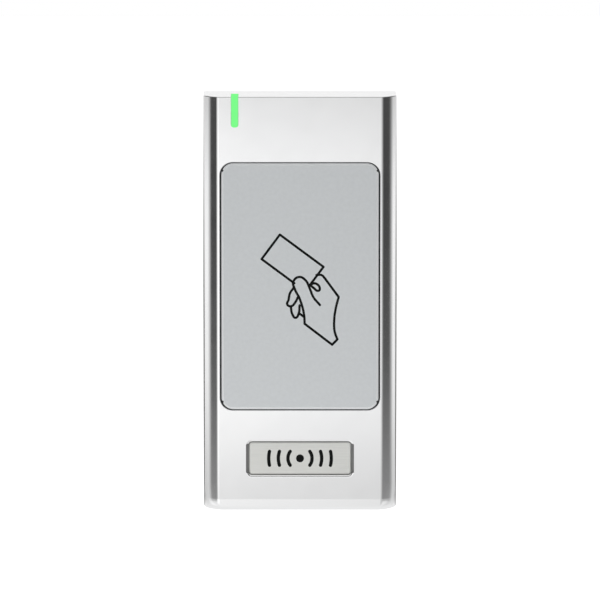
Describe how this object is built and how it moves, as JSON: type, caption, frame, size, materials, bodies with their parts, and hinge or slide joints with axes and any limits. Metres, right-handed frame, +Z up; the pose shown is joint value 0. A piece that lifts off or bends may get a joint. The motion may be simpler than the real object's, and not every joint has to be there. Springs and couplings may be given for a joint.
{
  "type": "rfid card reader",
  "caption": "Slim wall-mounted access reader: a satin-chromed casting with a card window, name plate and status light, hung on a wall bracket and secured from below by a screw.",
  "frame": {"origin": "centre of the wall bracket's rear face, on the wall plane, halfway between its two wall-screw holes", "axes": "+Z up along the reader's length, +Y into the wall, +X to the right as a person faces the reader"},
  "size_m": [0.0482, 0.019, 0.1039],
  "materials": {
    "chromed_zinc": "satin, fine cast grain under the plating",
    "window_plastic": "fine spark-eroded texture",
    "plate_metal": "satin, diamond-cut bevel",
    "light_pipe": "translucent, lit green",
    "foam_tape": "closed-cell foam tape",
    "grey_tape": "closed-cell foam tape",
    "copper_wire": "enamelled",
    "natural_nylon": "natural nylon",
    "board_laminate": "solder mask over glass-fibre laminate",
    "black_moulding": "moulded epoxy",
    "tinned_legs": "tin-plated",
    "ceramic_chips": "fired ceramic",
    "led_body": "white body, clear lens",
    "gold_pins": "gold-flashed",
    "zinc_steel": "bright zinc plating",
    "black_cover": "fine moulded texture",
    "black_rubber": "soft, matt",
    "spring_steel": "drawn wire",
    "stainless_steel": "turned",
    "zinc_plate": "bright zinc plating"
  },
  "bodies": {
    "bracket": {"wall_bracket": "zinc_plate"},
    "reader": {"front_housing": "chromed_zinc", "reader_window": "window_plastic", "window_adhesive": "foam_tape", "name_plate": "plate_metal", "name_plate_adhesive": "grey_tape", "light_pipe": "light_pipe", "antenna_coil": "copper_wire", "coil_former": "natural_nylon", "coil_leads": "copper_wire", "circuit_board": "board_laminate", "microcontroller": "black_moulding", "reader_chip": "black_moulding", "driver_chips": "black_moulding", "voltage_regulator": "black_moulding", "chip_leads": "tinned_legs", "crystal": "tinned_legs", "smoothing_capacitors": "tinned_legs", "chip_passives": "ceramic_chips", "status_led": "led_body", "buzzer": "black_moulding", "cable_connector": "natural_nylon", "connector_pins": "gold_pins", "tamper_switch": "black_moulding", "board_screws": "zinc_steel", "back_cover": "black_cover", "cover_gasket": "black_rubber", "cover_screws": "zinc_steel", "cable_grommet": "black_rubber", "tamper_spring": "spring_steel", "hanger_pin": "stainless_steel"},
    "security_screw": {"security_screw": "stainless_steel"},
    "tamper_pin": {"tamper_pin": "natural_nylon"}
  },
  "joints": [
    {"name": "reader_swing", "type": "hinge", "parent": "bracket", "child": "reader", "pos_m": [0, -0.00218, 0.0473], "axis": [-1, 0, 0], "range_deg": [0, 25]},
    {"name": "security_screw_travel", "type": "slide", "parent": "bracket", "child": "security_screw", "axis": [0, 0, -1], "range_m": [0, 0.0055]},
    {"name": "tamper_pin_travel", "type": "slide", "parent": "reader", "child": "tamper_pin", "axis": [0, 1, 0], "range_m": [0, 0.0018], "stiffness_N_per_m": 150, "springref_m": 0.0025, "deforming": ["tamper_spring"]}
  ]
}
